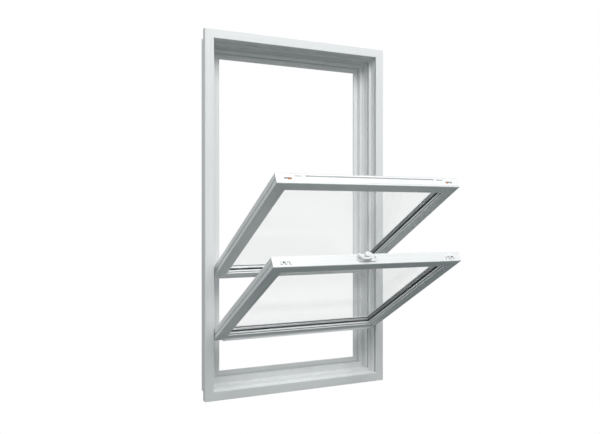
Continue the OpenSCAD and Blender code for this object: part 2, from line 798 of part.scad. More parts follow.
// Cam that reaches behind the keeper's hook, drawn where it locks
module lever_cam() {
    bow((cam_in + cam_out) / 2, cam_out - cam_in, cam_t, cam_arc[0], cam_arc[1]);
    rotate([0, 0, cam_arm]) translate([0, -cam_arm_w / 2, 0])
        cube([cam_in + 1, cam_arm_w, cam_t]);
}

// Cam, hub and curved handle in one piece
module lock_lever() color(vinyl) at_lock(hub_e) translate([0, 0, lever_z]) difference() {
    union() {
        cylinder(h = hub_h + handle_h, r = hub_r);
        translate([0, 0, hub_h + handle_h - eps])
            cylinder(h = hub_top_h, r1 = hub_r, r2 = hub_top_r);
        rotate([0, 0, -lock_swing]) lever_cam();
        translate([heel[0], heel[1], hub_h]) cylinder(h = handle_h, r = heel_r);
        translate([handle_mid[0], handle_mid[1], hub_h]) {
            bow(handle_r, handle_w, handle_h, handle_arc[0], handle_arc[1]);
            rotate([0, 0, handle_arc[0]]) translate([handle_r, 0, 0])
                cylinder(h = handle_h, d = handle_w + 1.5);
        }
    }
    translate([0, 0, -1])
        cylinder(h = base_t + post_h - lever_z + 1.3, r = post_r + post_play);
}

module flat_screw(len, r, head_r, head_t) {
    translate([0, 0, -len]) cylinder(h = len + 0.1, r = r);
    cylinder(h = head_t, r = head_r);
}
module lock_screws() color(metal) at_lock(base_e)
    lock_screw_places() translate([0, 0, sink_z])
        flat_screw(lock_screw_l, lock_screw_r, lock_head_r, lock_head_t);

bead_mid = bead_e + bead_t / 2;
keeper_screw_r = 1.6;
keeper_head_r = 3;
keeper_head_t = 0.9;
keeper_screw_l = 17;
module keeper_screw_places()
    for (u = [-1, 1]) translate([u * (keeper_w / 2 - 6), bead_mid, bead_w]) children();

module keeper() color(vinyl) place_sash("upper") translate([lock_u, 0, 0]) difference() {
    union() {
        translate([-keeper_w / 2, keeper_e[0], bead_w])
            cube([keeper_w, keeper_e[1] - keeper_e[0], keeper_t]);
        translate([-hook_half, keeper_e[0], bead_w + keeper_t - 0.1])
            cube([2 * hook_half, hook_t, hook_h + 0.1]);
    }
    keeper_screw_places() {
        translate([0, 0, -1]) cylinder(h = 4, r = keeper_screw_r + 0.05);
        translate([0, 0, sink_z]) cylinder(h = 2, r = keeper_head_r + 0.2);
    }
}

module keeper_screws() color(metal) place_sash("upper") translate([lock_u, 0, 0])
    keeper_screw_places() translate([0, 0, sink_z])
        flat_screw(keeper_screw_l, keeper_screw_r, keeper_head_r, keeper_head_t);

frame_head();
frame_sill();
frame_jamb(-1);  // frame_jamb_left
frame_jamb(1);  // frame_jamb_right
frame_pile();
balance_tube("lower", -1);  // tube_lower_left
balance_tube("lower", 1);  // tube_lower_right
balance_tube("upper", -1);  // tube_upper_left
balance_tube("upper", 1);  // tube_upper_right
tube_plugs();
tube_screws();
shoe("lower", -1);  // shoe_lower_left
shoe("lower", 1);  // shoe_lower_right
balance_rod("lower", -1);  // rod_lower_left
balance_rod("lower", 1);  // rod_lower_right
shoe("upper", -1);  // shoe_upper_left
shoe("upper", 1);  // shoe_upper_right
balance_rod("upper", -1);  // rod_upper_left
balance_rod("upper", 1);  // rod_upper_right
sash_stile("lower", -1);  // lower_stile_left
sash_stile("lower", 1);  // lower_stile_right
lower_top_rail();
lower_bottom_rail();
glazing_beads("lower");  // lower_glazing_beads
gaskets("lower");  // lower_gaskets
pane("lower", glass_e);  // lower_pane_room
pane("lower", glass_e + pane_t + air_t);  // lower_pane_outer
spacer("lower");  // lower_spacer
setting_blocks("lower");  // lower_setting_blocks
pivot_bars("lower");  // lower_pivot_bars
pivot_cams("lower");  // lower_pivot_cams
side_piles("lower");  // lower_side_piles
lower_bottom_seal();
latch_housings("lower");  // lower_latch_housings
latch_springs("lower");  // lower_latch_springs
lower_latch(-1);  // lower_latch_left
lower_latch(1);  // lower_latch_right
lock_base();
lock_lever();
lock_screws();
sash_stile("upper", -1);  // upper_stile_left
sash_stile("upper", 1);  // upper_stile_right
upper_top_rail();
upper_bottom_rail();
glazing_beads("upper");  // upper_glazing_beads
gaskets("upper");  // upper_gaskets
pane("upper", glass_e);  // upper_pane_room
pane("upper", glass_e + pane_t + air_t);  // upper_pane_outer
spacer("upper");  // upper_spacer
setting_blocks("upper");  // upper_setting_blocks
pivot_bars("upper");  // upper_pivot_bars
pivot_cams("upper");  // upper_pivot_cams
side_piles("upper");  // upper_side_piles
latch_housings("upper");  // upper_latch_housings
latch_springs("upper");  // upper_latch_springs
upper_latch(-1);  // upper_latch_left
upper_latch(1);  // upper_latch_right
upper_button(-1);  // upper_button_left
upper_button(1);  // upper_button_right
keeper();
keeper_screws();
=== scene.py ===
"""Looks of the tilt-in sash window: white vinyl, glazing, seals, balances and hardware.

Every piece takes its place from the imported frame.  Lengths are in metres.
"""

import json
import math

import bmesh
import bpy
from mathutils import Matrix, Vector


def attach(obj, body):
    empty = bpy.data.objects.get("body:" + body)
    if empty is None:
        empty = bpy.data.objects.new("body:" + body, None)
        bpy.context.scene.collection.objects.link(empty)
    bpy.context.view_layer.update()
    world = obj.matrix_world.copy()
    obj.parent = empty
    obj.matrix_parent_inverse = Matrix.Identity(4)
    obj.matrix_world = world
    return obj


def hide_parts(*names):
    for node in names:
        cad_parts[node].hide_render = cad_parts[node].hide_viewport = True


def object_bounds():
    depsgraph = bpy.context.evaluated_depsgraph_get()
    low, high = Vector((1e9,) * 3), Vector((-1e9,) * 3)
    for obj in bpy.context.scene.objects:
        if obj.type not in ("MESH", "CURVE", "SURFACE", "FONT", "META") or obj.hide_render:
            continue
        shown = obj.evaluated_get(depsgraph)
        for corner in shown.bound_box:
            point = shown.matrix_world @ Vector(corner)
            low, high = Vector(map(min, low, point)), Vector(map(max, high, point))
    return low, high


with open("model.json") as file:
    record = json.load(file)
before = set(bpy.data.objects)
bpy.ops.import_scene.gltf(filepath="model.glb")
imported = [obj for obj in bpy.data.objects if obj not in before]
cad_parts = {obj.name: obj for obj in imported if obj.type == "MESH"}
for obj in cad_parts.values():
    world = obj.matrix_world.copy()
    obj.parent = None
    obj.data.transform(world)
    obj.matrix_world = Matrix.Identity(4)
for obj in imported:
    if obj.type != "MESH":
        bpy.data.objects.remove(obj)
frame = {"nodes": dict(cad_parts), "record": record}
cad_box = [list(corner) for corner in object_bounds()]

MM = 0.001
RECORD = frame["record"]
SLOT_OF = {row["node"]: row["material_slot"] for row in RECORD["subparts"]}
BODY_OF = {n: body for body, nodes in RECORD["behaviour"]["bodies"].items() for n in nodes}
JOINT = {joint["name"]: joint for joint in RECORD["behaviour"]["joints"]}
SASHES = ("lower", "upper")
SIDES = ("left", "right")
X, Y, Z = range(3)
AROUND = ((-1, -1), (1, -1), (1, 1), (-1, 1))      # a square's corners in turn
MERGE = 1e-6                  # points closer than this are one


# ---------- camera, lights and floor ----------

EYE = Vector((-1.1064, -2.3857, 0.6637))
EYE_TURN = math.radians(25.5)
EYE_DROP = math.radians(0.1)
SENSOR = 36
LENS = 39.52
FLOOR_DROP = 0.45             # floor below the window's foot
FLOOR_REACH = 14.0


def make_camera():
    data = bpy.data.cameras.new("camera")
    data.sensor_width = SENSOR
    data.lens = LENS
    camera = bpy.data.objects.new("camera", data)
    bpy.context.scene.collection.objects.link(camera)
    look = Vector((math.sin(EYE_TURN), math.cos(EYE_TURN), -math.tan(EYE_DROP)))
    camera.location = EYE
    camera.rotation_mode = "QUATERNION"
    camera.rotation_quaternion = look.to_track_quat("-Z", "Y")
    bpy.context.scene.camera = camera


def make_area_light(name, place, target, size, power, colour):
    data = bpy.data.lights.new(name, "AREA")
    data.shape = "RECTANGLE"
    data.size, data.size_y = size
    data.energy = power
    data.color = colour
    light = bpy.data.objects.new(name, data)
    bpy.context.scene.collection.objects.link(light)
    light.location = place
    light.rotation_mode = "QUATERNION"
    light.rotation_quaternion = (Vector(target) - Vector(place)).to_track_quat("-Z", "Y")


def straight_view(tree):
    """1 for what is seen directly or through glass, 0 for light that only bounces."""
    rays = tree.nodes.new("ShaderNodeLightPath")
    either = tree.nodes.new("ShaderNodeMath")
    either.operation = "MAXIMUM"
    tree.links.new(rays.outputs["Is Camera Ray"], either.inputs[0])
    tree.links.new(rays.outputs["Is Transmission Ray"], either.inputs[1])
    return either.outputs[0]


BELOW = (0.30, (0.055, 0.068, 0.066, 1))      # height in the sky, from 0 to 1, and its colour
LEVEL = (0.52, (0.36, 0.38, 0.38, 1))
ABOVE = (0.85, (0.85, 0.87, 0.88, 1))
WHITE = (1, 1, 1, 1)


def make_world():
    """A pale studio: white behind the object, brighter above it than below."""
    world = bpy.data.worlds.new("studio")
    bpy.context.scene.world = world
    world.use_nodes = True
    tree = world.node_tree
    tree.nodes.clear()
    output = tree.nodes.new("ShaderNodeOutputWorld")
    mix = tree.nodes.new("ShaderNodeMixShader")
    seen = tree.nodes.new("ShaderNodeBackground")
    seen.inputs["Color"].default_value = WHITE
    seen.inputs["Strength"].default_value = 1.0
    soft = tree.nodes.new("ShaderNodeBackground")
    soft.inputs["Strength"].default_value = 1.0
    ramp = tree.nodes.new("ShaderNodeValToRGB")
    stops = ramp.color_ramp.elements
    stops[0].position, stops[0].color = BELOW
    stops[1].position, stops[1].color = ABOVE
    stops.new(LEVEL[0]).color = LEVEL[1]
    coords = tree.nodes.new("ShaderNodeTexCoord")
    split = tree.nodes.new("ShaderNodeSeparateXYZ")
    height = tree.nodes.new("ShaderNodeMapRange")
    height.inputs["From Min"].default_value = -1
    link = tree.links.new
    link(coords.outputs["Generated"], split.inputs[0])
    link(split.outputs["Z"], height.inputs["Value"])
    link(height.outputs["Result"], ramp.inputs["Fac"])
    link(ramp.outputs["Color"], soft.inputs["Color"])
    link(straight_view(tree), mix.inputs["Fac"])
    link(soft.outputs[0], mix.inputs[1])
    link(seen.outputs[0], mix.inputs[2])
    link(mix.outputs[0], output.inputs["Surface"])


def floor_material():
    """A pale floor that throws little light back up under the sashes."""
    material = bpy.data.materials.new("pale_floor")
    material.use_nodes = True
    tree = material.node_tree
    tree.nodes.clear()
    output = tree.nodes.new("ShaderNodeOutputMaterial")
    mix = tree.nodes.new("ShaderNodeMixShader")
    pale = tree.nodes.new("ShaderNodeEmission")
    pale.inputs["Color"].default_value = WHITE
    dim = tree.nodes.new("ShaderNodeBsdfDiffuse")
    dim.inputs["Color"].default_value = (0.16, 0.18, 0.18, 1)
    tree.links.new(straight_view(tree), mix.inputs["Fac"])
    tree.links.new(dim.outputs[0], mix.inputs[1])
    tree.links.new(pale.outputs[0], mix.inputs[2])
    tree.links.new(mix.outputs[0], output.inputs["Surface"])
    return material


def make_floor():
    mesh = bpy.data.meshes.new("floor")
    z = cad_box[0][Z] - FLOOR_DROP
    corners = [(sx * FLOOR_REACH, sy * FLOOR_REACH, z) for sx, sy in AROUND]
    mesh.from_pydata(corners, [], [(0, 1, 2, 3)])
    floor = bpy.data.objects.new("floor", mesh)
    bpy.context.scene.collection.objects.link(floor)
    mesh.materials.append(floor_material())


make_camera()
make_world()
make_floor()
make_area_light("top_light", place=(0.1, -2.1, 3.15), target=(0, -0.1, 0.6), size=(2.2, 1.4),
                power=61, colour=(1.0, 1.0, 1.0))
make_area_light("side_light", place=(-3.0, -0.9, 1.6), target=(0, 0, 0.7), size=(1.2, 1.8),
                power=9, colour=(0.97, 1.0, 1.0))
bpy.context.scene.view_settings.view_transform = "Standard"


# ---------- materials ----------

def new_material(name):
    material = bpy.data.materials.new(name)
    material.use_nodes = True
    return material, material.node_tree, material.node_tree.nodes["Principled BSDF"]


def add_sockets(tree, way, *rows):
    """Gives a node tree named sockets; a row is a name, a kind and, for some, a first value."""
    for name, kind, *value in rows:
        socket = tree.interface.new_socket(name=name, in_out=way, socket_type="NodeSocket" + kind)
        if value:
            socket.default_value = value[0]


SURFACE = (("Colour", "Color"), ("Roughness", "Float"), ("Normal", "Vector"))
LINE_STRETCH = (2.0, 420.0, 420.0)            # few changes along a bar, many across it
LINE_RELIEF = 0.2 * MM
GRAIN_RELIEF = 0.1 * MM


def make_drawn_group():
    """Fine lines that run along an extruded, drawn or rolled bar."""
    group = bpy.data.node_groups.new("drawn_lines", "ShaderNodeTree")
    add_sockets(group, "INPUT", ("Vector", "Vector"), ("Colour", "Color"),
                ("Other Colour", "Color"), ("Roughness", "Float"), ("Spread", "Float"),
                ("Relief", "Float"))
    add_sockets(group, "OUTPUT", *SURFACE)
    entry = group.nodes.new("NodeGroupInput")
    leave = group.nodes.new("NodeGroupOutput")
    along = group.nodes.new("ShaderNodeMapping")
    along.inputs["Scale"].default_value = LINE_STRETCH
    lines = group.nodes.new("ShaderNodeTexNoise")
    lines.inputs["Scale"].default_value = 1.0
    lines.inputs["Detail"].default_value = 4.0
    cloud = group.nodes.new("ShaderNodeTexNoise")
    cloud.inputs["Scale"].default_value = 7.0
    cloud.inputs["Detail"].default_value = 3.0
    mixed = group.nodes.new("ShaderNodeMath")
    mixed.operation = "MULTIPLY_ADD"
    mixed.inputs[1].default_value = 0.45
    tint = group.nodes.new("ShaderNodeMix")
    tint.data_type = "RGBA"
    rough = group.nodes.new("ShaderNodeMapRange")
    rough.inputs["From Min"].default_value = 0.3
    rough.inputs["From Max"].default_value = 0.7
    top = group.nodes.new("ShaderNodeMath")
    top.operation = "ADD"
    bump = group.nodes.new("ShaderNodeBump")
    bump.inputs["Distance"].default_value = LINE_RELIEF
    link = group.links.new
    link(entry.outputs["Vector"], along.inputs["Vector"])
    link(along.outputs[0], lines.inputs["Vector"])
    link(entry.outputs["Vector"], cloud.inputs["Vector"])
    link(lines.outputs["Fac"], mixed.inputs[0])
    link(cloud.outputs["Fac"], mixed.inputs[2])
    link(mixed.outputs[0], tint.inputs["Factor"])
    link(entry.outputs["Colour"], tint.inputs["A"])
    link(entry.outputs["Other Colour"], tint.inputs["B"])
    link(entry.outputs["Roughness"], top.inputs[0])
    link(entry.outputs["Spread"], top.inputs[1])
    link(lines.outputs["Fac"], rough.inputs["Value"])
    link(entry.outputs["Roughness"], rough.inputs["To Min"])
    link(top.outputs[0], rough.inputs["To Max"])
    link(lines.outputs["Fac"], bump.inputs["Height"])
    link(entry.outputs["Relief"], bump.inputs["Strength"])
    link(tint.outputs["Result"], leave.inputs["Colour"])
    link(rough.outputs["Result"], leave.inputs["Roughness"])
    link(bump.outputs["Normal"], leave.inputs["Normal"])
    return group


DRAWN = make_drawn_group()


def make_moulded_group():
    """Small even grain of a moulded part, with a faint cloudiness."""
    group = bpy.data.node_groups.new("moulded_grain", "ShaderNodeTree")
    add_sockets(group, "INPUT", ("Vector", "Vector"), ("Colour", "Color"),
                ("Other Colour", "Color"), ("Grain", "Float"), ("Roughness", "Float"),
                ("Spread", "Float"), ("Relief", "Float"))
    add_sockets(group, "OUTPUT", *SURFACE)
    entry = group.nodes.new("NodeGroupInput")
    leave = group.nodes.new("NodeGroupOutput")
    grain = group.nodes.new("ShaderNodeTexNoise")
    grain.inputs["Detail"].default_value = 2.0
    cloud = group.nodes.new("ShaderNodeTexNoise")
    cloud.inputs["Scale"].default_value = 60.0
    tint = group.nodes.new("ShaderNodeMix")
    tint.data_type = "RGBA"
    rough = group.nodes.new("ShaderNodeMath")
    rough.operation = "MULTIPLY_ADD"
    bump = group.nodes.new("ShaderNodeBump")
    bump.inputs["Distance"].default_value = GRAIN_RELIEF
    link = group.links.new
    link(entry.outputs["Vector"], grain.inputs["Vector"])
    link(entry.outputs["Grain"], grain.inputs["Scale"])
    link(entry.outputs["Vector"], cloud.inputs["Vector"])
    link(cloud.outputs["Fac"], tint.inputs["Factor"])
    link(entry.outputs["Colour"], tint.inputs["A"])
    link(entry.outputs["Other Colour"], tint.inputs["B"])
    link(grain.outputs["Fac"], rough.inputs[0])
    link(entry.outputs["Spread"], rough.inputs[1])
    link(entry.outputs["Roughness"], rough.inputs[2])
    link(grain.outputs["Fac"], bump.inputs["Height"])
    link(entry.outputs["Relief"], bump.inputs["Strength"])
    link(tint.outputs["Result"], leave.inputs["Colour"])
    link(rough.outputs[0], leave.inputs["Roughness"])
    link(bump.outputs["Normal"], leave.inputs["Normal"])
    return group


MOULDED = make_moulded_group()


def finish_with(tree, shader, group, values, vector):
    """Puts an effect group in front of a shader and sets its inputs."""
    node = tree.nodes.new("ShaderNodeGroup")
    node.node_tree = group
    for name, value in values.items():
        node.inputs[name].default_value = value
    tree.links.new(vector, node.inputs["Vector"])
    tree.links.new(node.outputs["Colour"], shader.inputs["Base Color"])
    tree.links.new(node.outputs["Roughness"], shader.inputs["Roughness"])
    tree.links.new(node.outputs["Normal"], shader.inputs["Normal"])


def along_bar(tree):
    """Coordinates that follow each bar: x runs along it."""
    node = tree.nodes.new("ShaderNodeAttribute")
    node.attribute_name = "along_bar"
    return node.outputs["Vector"]


def object_coords(tree):
    return tree.nodes.new("ShaderNodeTexCoord").outputs["Object"]


def drawn_material(name, colour, other, roughness, spread, relief, metallic=0.0):
    """An extruded, drawn or rolled surface between two shades."""
    material, tree, shader = new_material(name)
    shader.inputs["Metallic"].default_value = metallic
    shader.inputs["IOR"].default_value = 1.5
    values = {"Colour": (*colour, 1), "Other Colour": (*other, 1), "Roughness": roughness,
              "Spread": spread, "Relief": relief}
    finish_with(tree, shader, DRAWN, values, along_bar(tree))
    return material


def moulded_material(name, colour, other, grain, roughness, spread, relief):
    """A moulded plastic, rubber or fibre between two shades."""
    material, tree, shader = new_material(name)
    values = {"Colour": (*colour, 1), "Other Colour": (*other, 1), "Grain": grain,
              "Roughness": roughness, "Spread": spread, "Relief": relief}
    finish_with(tree, shader, MOULDED, values, object_coords(tree))
    return material


CLEAR_SHARE = 0.93            # share of the light that passes a coated face straight


def glass_material():
    """Clear coated float glass with a faint cloud of wiping marks in its gloss."""
    material, tree, shader = new_material("float_glass")
    shader.inputs["Base Color"].default_value = (0.975, 0.992, 0.985, 1)
    shader.inputs["IOR"].default_value = 1.5
    shader.inputs["Transmission Weight"].default_value = 1.0
    marks = tree.nodes.new("ShaderNodeTexNoise")
    marks.inputs["Scale"].default_value = 9.0
    marks.inputs["Detail"].default_value = 3.0
    gloss = tree.nodes.new("ShaderNodeMapRange")
    gloss.inputs["From Min"].default_value = 0.35
    gloss.inputs["From Max"].default_value = 0.75
    gloss.inputs["To Min"].default_value = 0.0
    gloss.inputs["To Max"].default_value = 0.02
    output = tree.nodes["Material Output"]
    mix = tree.nodes.new("ShaderNodeMixShader")
    clear = tree.nodes.new("ShaderNodeBsdfTransparent")
    clear.inputs["Color"].default_value = (0.996, 0.998, 0.997, 1)
    rays = tree.nodes.new("ShaderNodeLightPath")
    share = tree.nodes.new("ShaderNodeMath")
    share.operation = "MAXIMUM"
    share.inputs[1].default_value = CLEAR_SHARE
    link = tree.links.new
    link(object_coords(tree), marks.inputs["Vector"])
    link(marks.outputs["Fac"], gloss.inputs["Value"])
    link(gloss.outputs["Result"], shader.inputs["Roughness"])
    link(rays.outputs["Is Shadow Ray"], share.inputs[0])
    link(share.outputs[0], mix.inputs["Fac"])
    link(shader.outputs[0], mix.inputs[1])
    link(clear.outputs[0], mix.inputs[2])
    link(mix.outputs[0], output.inputs["Surface"])
    return material


VINYL = drawn_material("white_vinyl", (0.80, 0.81, 0.815), (0.86, 0.865, 0.865),
                       roughness=0.24, spread=0.12, relief=0.10)
MOULDED_WHITE = moulded_material("moulded_white", (0.80, 0.81, 0.81), (0.85, 0.85, 0.85),
                                 grain=2400, roughness=0.28, spread=0.12, relief=0.12)
GREY_PLASTIC = moulded_material("grey_plastic", (0.55, 0.56, 0.57), (0.62, 0.63, 0.63),
                                grain=2200, roughness=0.38, spread=0.15, relief=0.25)
ORANGE_PLASTIC = moulded_material("orange_plastic", (0.50, 0.19, 0.07), (0.62, 0.27, 0.11),
                                  grain=2200, roughness=0.35, spread=0.15, relief=0.25)
RUBBER = moulded_material("black_rubber", (0.012, 0.012, 0.013), (0.03, 0.03, 0.032),
                          grain=3200, roughness=0.55, spread=0.25, relief=0.45)
PILE = moulded_material("grey_pile", (0.66, 0.67, 0.68), (0.82, 0.83, 0.83),
                        grain=3800, roughness=0.75, spread=0.2, relief=0.3)
STEEL = drawn_material("zinc_steel", (0.52, 0.53, 0.55), (0.66, 0.66, 0.67),
                       roughness=0.28, spread=0.2, relief=0.3, metallic=1.0)
TUBE = drawn_material("balance_tube", (0.60, 0.61, 0.62), (0.74, 0.75, 0.76),
                      roughness=0.24, spread=0.2, relief=0.3, metallic=1.0)
SPACER = drawn_material("spacer_bar", (0.30, 0.31, 0.32), (0.42, 0.43, 0.44),
                        roughness=0.32, spread=0.2, relief=0.3, metallic=1.0)
GLASS = glass_material()
BY_SLOT = {"white_vinyl": VINYL, "glass": GLASS, "black_rubber": RUBBER, "pile": PILE,
           "orange_plastic": ORANGE_PLASTIC, "grey_plastic": GREY_PLASTIC,
           "balance_tube": TUBE, "spacer": SPACER, "steel": STEEL}


# ---------- places taken from the frame ----------

PIVOT_DEPTH = 9 * MM          # pivot axis behind a sash's room face
PIVOT_HEIGHT = 10 * MM        # pivot axis above a sash's lower edge


def sash_matrix(sash):
    """From an upright sash, with its lower room edge on the x axis, to its place."""
    joint = JOINT[sash + "_tilt"]
    tilt = math.radians(-joint["range_deg"][0])
    back = Matrix.Translation((0, -PIVOT_DEPTH, -PIVOT_HEIGHT))
    return Matrix.Translation(joint["pos_m"]) @ Matrix.Rotation(tilt, 4, "X") @ back


PLACE = {sash: sash_matrix(sash) for sash in SASHES}
PLACE["frame"] = Matrix.Identity(4)


def home_of(node):
    """The sash, or the frame, whose directions a node follows."""
    body = BODY_OF[node]
    for sash in SASHES:
        if body.startswith(sash) and not body.endswith("carriage"):
            return sash
    return "lower" if body == "lock_lever" else "frame"


def corners_of(points):
    low = Vector([min(p[i] for p in points) for i in range(3)])
    high = Vector([max(p[i] for p in points) for i in range(3)])
    return low, high


def middle_of(points):
    low, high = corners_of(points)
    return (low + high) / 2


def long_axis_of(low, high):
    return max(range(3), key=lambda i: high[i] - low[i])


def set_along_bar(mesh, home):
    """Writes, for each point, its place along and across the bar that it is on."""
    inverse = PLACE[home].inverted()
    points = [inverse @ v.co for v in mesh.vertices]
    long = long_axis_of(*corners_of(points))
    order = (long, (long + 1) % 3, (long + 2) % 3)
    data = mesh.attributes.new("along_bar", "FLOAT_VECTOR", "POINT").data
    for point, place in zip(points, data):
        place.vector = [point[i] for i in order]


def add_piece(name, mesh, body, material, replaced=()):
    piece = bpy.data.objects.new(name, mesh)
    bpy.context.scene.collection.objects.link(piece)
    mesh.materials.clear()
    mesh.materials.append(material)
    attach(piece, body)
    if replaced:
        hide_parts(*replaced)


# ---------- vinyl bars and moulded parts with softened edges ----------

SEAM_SHARE = 0.25             # rounding left along a welded mitre
SEAM_SLACK = 0.01             # how far a mitre's direction may be from 45 degrees
SHARP = math.radians(28)      # edges that turn less are left alone
SAME_FACE = math.radians(0.6)  # faces that turn less are made one
FLAT, ROUNDED = range(2)      # material numbers that tell faces from rounded strips


def seam_faces_of(shape, home):
    """The faces on which two mitred bars meet."""
    turn = PLACE[home].inverted().to_3x3()
    found = set()
    for face in shape.faces:
        normal = turn @ face.normal
        if abs(abs(normal.x) - abs(normal.z)) < SEAM_SLACK and abs(normal.y) < SEAM_SLACK:
            found.add(face)
    return found


def outer_faces_of(shape, seams):
    """The faces of a bar's outside, without the hollow chambers that end at its mitres."""
    left = set(shape.faces) - seams
    best = set()
    best_area = 0.0
    while left:
        group = {left.pop()}
        waiting = list(group)
        while waiting:
            for edge in waiting.pop().edges:
                for face in edge.link_faces:
                    if face in left:
                        left.remove(face)
                        group.add(face)
                        waiting.append(face)
        area = sum(face.calc_area() for face in group)
        if area > best_area:
            best = group
            best_area = area
    return best


def weigh_edges(shape, home):
    """Full rounding on the outside's sharp edges and a fine seam along the mitred ends."""
    seams = seam_faces_of(shape, home)
    outer = outer_faces_of(shape, seams) if seams else set(shape.faces)
    weights = shape.edges.layers.float.new("bevel_weight_edge")
    for edge in shape.edges:
        faces = set(edge.link_faces)
        if len(faces) != 2 or edge.calc_face_angle(0) < SHARP:
            continue
        if faces & seams and faces & outer:
            edge[weights] = SEAM_SHARE
        elif faces <= outer and edge.is_convex:
            edge[weights] = 1.0


def rounded_mesh(node, radius, segments=2):
    """A copy of a node's shape: its sharp edges rounded and shaded smooth, its faces flat."""
    shape = bmesh.new()
    shape.from_mesh(frame["nodes"][node].data)
    bmesh.ops.remove_doubles(shape, verts=shape.verts, dist=MERGE)
    bmesh.ops.dissolve_limit(shape, angle_limit=SAME_FACE, verts=shape.verts, edges=shape.edges)
    bmesh.ops.recalc_face_normals(shape, faces=shape.faces)
    weigh_edges(shape, home_of(node))
    mesh = bpy.data.meshes.new(node + "_rounded")
    shape.to_mesh(mesh)
    shape.free()
    for _ in (FLAT, ROUNDED):
        mesh.materials.append(None)
    holder = bpy.data.objects.new("holder", mesh)
    bpy.context.scene.collection.objects.link(holder)
    bevel = holder.modifiers.new("edges", "BEVEL")
    bevel.width = radius
    bevel.segments = segments
    bevel.limit_method = "WEIGHT"
    bevel.material = ROUNDED
    bevel.miter_outer = "MITER_ARC"
    graph = bpy.context.evaluated_depsgraph_get()
    result = bpy.data.meshes.new_from_object(holder.evaluated_get(graph))
    result.name = node + "_rounded"
    for face in result.polygons:
        face.use_smooth = face.material_index == ROUNDED
        face.material_index = FLAT
    bpy.data.objects.remove(holder)
    return result


def make_rounded(node, radius, material=None):
    mesh = rounded_mesh(node, radius)
    set_along_bar(mesh, home_of(node))
    chosen = material or BY_SLOT[SLOT_OF[node]]
    add_piece(node + "_body", mesh, BODY_OF[node], chosen, [node])


BAR_EDGE = 0.5 * MM
SMALL_EDGE = 0.35 * MM


def make_vinyl_bars():
    for part in ("head", "sill", "jamb_left", "jamb_right"):
        make_rounded("frame_" + part, BAR_EDGE)
    for sash in SASHES:
        for part in ("stile_left", "stile_right", "top_rail", "bottom_rail"):
            make_rounded(f"{sash}_{part}", BAR_EDGE)


def make_hardware():
    for node in ("lock_base", "lock_lever", "keeper", "lower_latch_left", "lower_latch_right"):
        make_rounded(node, SMALL_EDGE, MOULDED_WHITE)
    for sash in SASHES:
        make_rounded(sash + "_pivot_bars", SMALL_EDGE)
        for side in SIDES:
            make_rounded(f"shoe_{sash}_{side}", SMALL_EDGE)
    for side in SIDES:
        make_rounded("upper_latch_" + side, SMALL_EDGE, MOULDED_WHITE)
        make_rounded("upper_button_" + side, SMALL_EDGE)


# ---------- glazing: swept rings and panes ----------

def solids_of(node):
    """The separate solids of a node, each as a list of points in its sash's directions."""
    inverse = PLACE[home_of(node)].inverted()
    shape = bmesh.new()
    shape.from_mesh(frame["nodes"][node].data)
    bmesh.ops.remove_doubles(shape, verts=shape.verts, dist=MERGE)
    left = set(shape.verts)
    solids = []
    while left:
        reached = [left.pop()]
        for vert in reached:
            for edge in vert.link_edges:
                other = edge.other_vert(vert)
                if other in left:
                    left.discard(other)
                    reached.append(other)
        solids.append([inverse @ vert.co for vert in reached])
    shape.free()
    return sorted(solids, key=lambda points: tuple(round(c, 5) for c in middle_of(points)))


def round_pairs(items):
    """Each item with the next one, and the last with the first."""
    return zip(items, items[1:] + items[:1])


def swept_ring(points, profile):
    """Sweeps a profile round a rectangular ring; its points are shares of the ring's section.

    The first share goes from the ring's outside inwards, the second from the room outwards.
    """
    low, high = corners_of(points)
    centre = (low + high) / 2
    half_x = (high.x - low.x) / 2
    half_z = (high.z - low.z) / 2
    broad = half_z - min(abs(p.z - centre.z) for p in points)
    thick = high.y - low.y
    verts = []
    for sx, sz in AROUND:
        for w, e in profile:
            verts.append((centre.x + sx * (half_x - w * broad), low.y + e * thick,
                          centre.z + sz * (half_z - w * broad)))
    count = len(profile)
    faces = []
    for start, after in round_pairs([0, count, 2 * count, 3 * count]):
        for i, j in round_pairs(list(range(count))):
            faces.append((start + i, start + j, after + j, after + i))
    return verts, faces


def add_shape(verts, faces, more_verts, more_faces):
    """Puts a second shape's points and faces behind those of the first."""
    faces += [tuple(i + len(verts) for i in face) for face in more_faces]
    verts += more_verts


def mesh_of(name, verts, faces, place):
    mesh = bpy.data.meshes.new(name)
    mesh.from_pydata(verts, [], faces)
    shape = bmesh.new()
    shape.from_mesh(mesh)
    bmesh.ops.recalc_face_normals(shape, faces=shape.faces)
    shape.to_mesh(mesh)
    shape.free()
    mesh.transform(place)
    return mesh


def swept_node(node, profiles, material):
    """Replaces a node of rectangular rings by rings with a finer profile."""
    verts = []
    faces = []
    for points, profile in zip(sorted(solids_of(node), key=lambda p: middle_of(p).y), profiles):
        add_shape(verts, faces, *swept_ring(points, profile))
    home = home_of(node)
    mesh = mesh_of(node + "_swept", verts, faces, PLACE[home])
    set_along_bar(mesh, home)
    add_piece(node + "_body", mesh, BODY_OF[node], material, [node])


